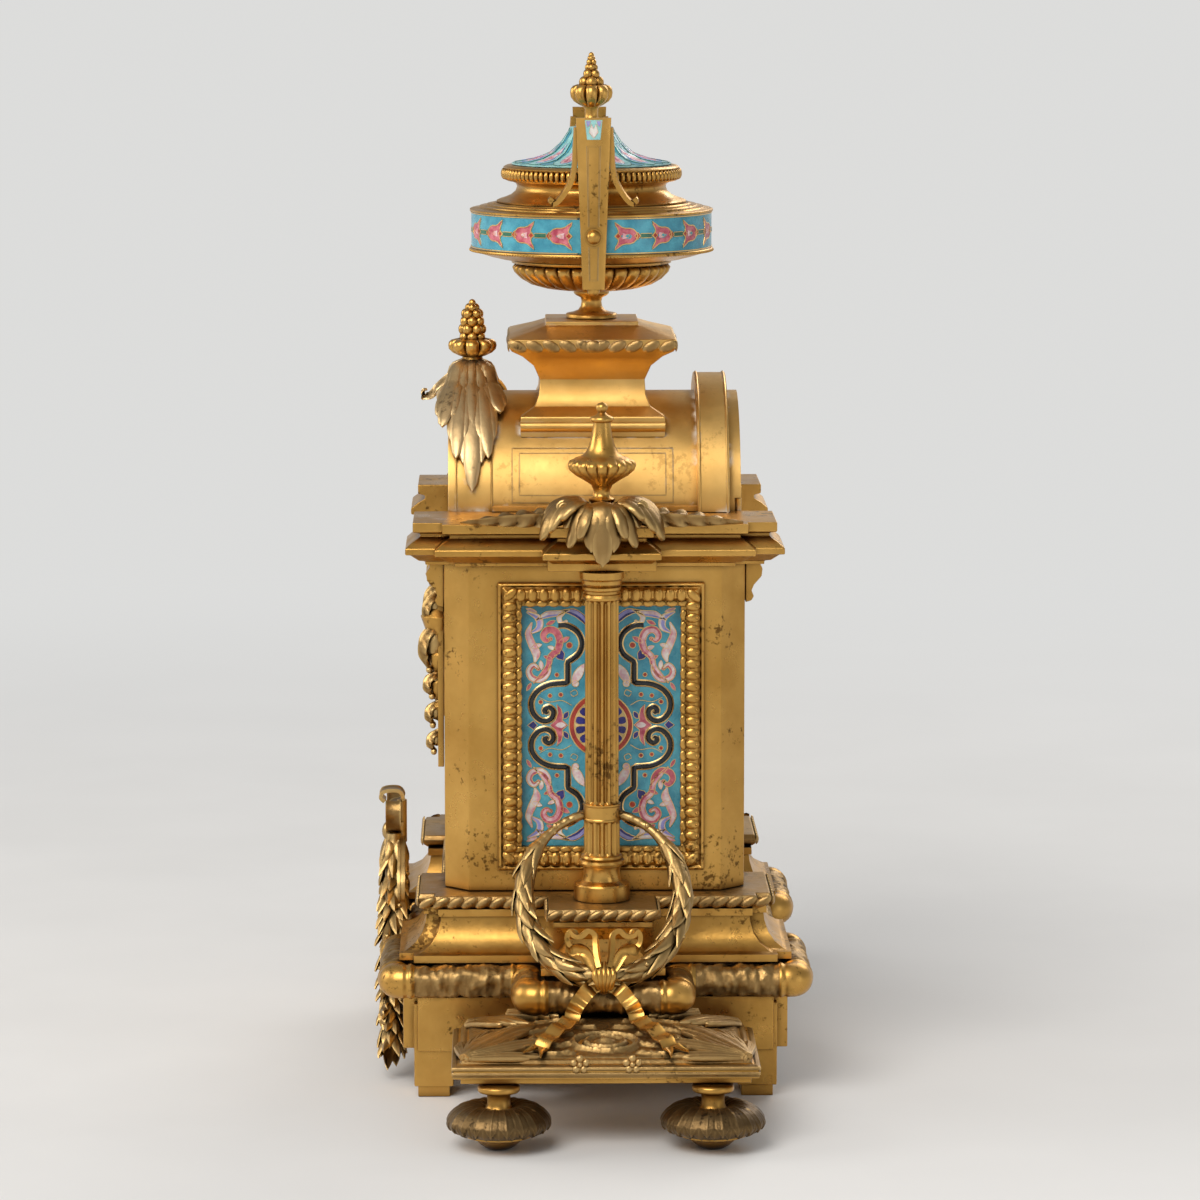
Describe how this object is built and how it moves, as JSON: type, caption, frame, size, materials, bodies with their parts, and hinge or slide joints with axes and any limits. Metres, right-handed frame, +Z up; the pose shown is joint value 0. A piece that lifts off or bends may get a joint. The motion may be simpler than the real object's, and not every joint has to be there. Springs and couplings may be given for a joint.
{
  "type": "gilt table clock",
  "caption": "Gilt table clock with enamel panels, a drum for the dial under an urn, side columns with wreaths, and wings on toupie feet.",
  "frame": {"origin": "on the table, under the middle of the clock's overall box", "axes": "+Z up, the dial faces -Y, +X to the right as seen from the front"},
  "size_m": [0.412, 0.1792, 0.422],
  "materials": {
    "bright_gilt": "burnished fire gilding on cast bronze",
    "aged_gilt": "fire gilding with brown speckles from age",
    "dark_gilt": "worn gilding, dark brown in the recesses",
    "turquoise_enamel": "glossy turquoise enamel with painted ornament",
    "white_enamel": "glossy white enamel with black numbers",
    "movement_brass": "plain polished brass",
    "blued_steel": "heat-blued and polished",
    "plain_steel": "plain ground steel",
    "dial_glass": "clear flat glass"
  },
  "bodies": {
    "case": {"base_plinth": "aged_gilt", "base_torus": "dark_gilt", "base_cove": "aged_gilt", "leaf_moulding": "dark_gilt", "wing_pad_right": "dark_gilt", "wing_pad_left": "dark_gilt", "wing_foot_front_right": "dark_gilt", "wing_foot_front_left": "dark_gilt", "wing_foot_rear_right": "dark_gilt", "wing_foot_rear_left": "dark_gilt", "front_garland": "aged_gilt", "column_right": "bright_gilt", "column_left": "bright_gilt", "wreath_right": "aged_gilt", "wreath_left": "aged_gilt", "body_case": "aged_gilt", "side_panel_right": "turquoise_enamel", "side_panel_left": "turquoise_enamel", "side_frame_right": "aged_gilt", "side_frame_left": "aged_gilt", "front_panel": "turquoise_enamel", "pilaster_right": "aged_gilt", "pilaster_left": "aged_gilt", "cornice_right": "aged_gilt", "cornice_left": "aged_gilt", "drum_front_ring": "bright_gilt", "drum_shell": "bright_gilt", "dial_face": "white_enamel", "movement_front_plate": "movement_brass", "movement_back_plate": "movement_brass", "bell": "movement_brass", "front_acanthus": "aged_gilt", "pine_cone_finial": "aged_gilt", "urn_socle": "bright_gilt", "urn_bowl": "dark_gilt", "urn_band": "turquoise_enamel", "urn_neck": "bright_gilt", "urn_lid": "turquoise_enamel", "urn_finial": "aged_gilt", "urn_handle_right": "dark_gilt", "urn_handle_left": "dark_gilt", "urn_tie_bolt": "plain_steel", "side_finial_right": "bright_gilt", "side_finial_left": "bright_gilt", "side_acanthus_right": "aged_gilt", "side_acanthus_left": "aged_gilt"},
    "bezel": {"dial_bezel": "bright_gilt", "bezel_glass": "dial_glass"},
    "door": {"rear_door": "bright_gilt"},
    "minute_arbor": {"centre_wheel": "movement_brass", "minute_hand": "blued_steel"},
    "hour_arbor": {"hour_hand": "blued_steel"},
    "minute_wheel_arbor": {"minute_wheel": "movement_brass"},
    "third_arbor": {"third_wheel": "movement_brass"},
    "escape_arbor": {"escape_wheel": "movement_brass"},
    "going_arbor": {"going_barrel": "movement_brass"},
    "strike_arbor": {"strike_barrel": "movement_brass"},
    "anchor_arbor": {"pallet_anchor": "plain_steel"},
    "pendulum_swing": {"pendulum": "movement_brass"},
    "hammer_arbor": {"hammer": "plain_steel"}
  },
  "joints": [
    {"name": "bezel_hinge", "type": "hinge", "parent": "case", "child": "bezel", "pos_m": [-0.04625, -0.058, 0.233], "axis": [0, 0, -1], "range_deg": [0, 88]},
    {"name": "rear_door_hinge", "type": "hinge", "parent": "case", "child": "door", "pos_m": [0.04625, 0.061, 0.233], "axis": [0, 0, -1], "range_deg": [0, 88]},
    {"name": "minute_hand_turn", "type": "hinge", "parent": "case", "child": "minute_arbor", "pos_m": [0, 0, 0.233], "axis": [0, 1, 0], "continuous": true},
    {"name": "hour_hand_turn", "type": "hinge", "parent": "case", "child": "hour_arbor", "pos_m": [0, 0, 0.233], "axis": [0, 1, 0], "continuous": true},
    {"name": "minute_wheel_turn", "type": "hinge", "parent": "case", "child": "minute_wheel_arbor", "pos_m": [0, 0, 0.221], "axis": [0, 1, 0], "continuous": true},
    {"name": "third_wheel_turn", "type": "hinge", "parent": "case", "child": "third_arbor", "pos_m": [0.01, 0, 0.2465], "axis": [0, 1, 0], "continuous": true},
    {"name": "escape_wheel_turn", "type": "hinge", "parent": "case", "child": "escape_arbor", "pos_m": [0, 0, 0.2563], "axis": [0, 1, 0], "continuous": true},
    {"name": "going_barrel_turn", "type": "hinge", "parent": "case", "child": "going_arbor", "pos_m": [0.0161, 0, 0.22495], "axis": [0, 1, 0], "continuous": true},
    {"name": "strike_barrel_turn", "type": "hinge", "parent": "case", "child": "strike_arbor", "pos_m": [-0.0161, 0, 0.22495], "axis": [0, 1, 0], "continuous": true},
    {"name": "pendulum_swing", "type": "hinge", "parent": "case", "child": "pendulum_swing", "pos_m": [0, 0, 0.2678], "axis": [0, 1, 0], "range_deg": [-3.5, 3.5]},
    {"name": "anchor_rock", "type": "hinge", "parent": "case", "child": "anchor_arbor", "pos_m": [0, 0, 0.2678], "axis": [0, 1, 0], "range_deg": [-3.5, 3.5]},
    {"name": "hammer_lift", "type": "hinge", "parent": "case", "child": "hammer_arbor", "pos_m": [0.03, 0, 0.251], "axis": [0, -1, 0], "range_deg": [0, 8]}
  ],
  "couplings": [
    {"joint": "hour_hand_turn", "follows": "minute_hand_turn", "ratio": 0.083333},
    {"joint": "minute_wheel_turn", "follows": "minute_hand_turn", "ratio": -0.33333},
    {"joint": "third_wheel_turn", "follows": "minute_hand_turn", "ratio": -6},
    {"joint": "escape_wheel_turn", "follows": "minute_hand_turn", "ratio": 36},
    {"joint": "going_barrel_turn", "follows": "minute_hand_turn", "ratio": -0.16667},
    {"joint": "anchor_rock", "follows": "pendulum_swing", "ratio": 1}
  ]
}
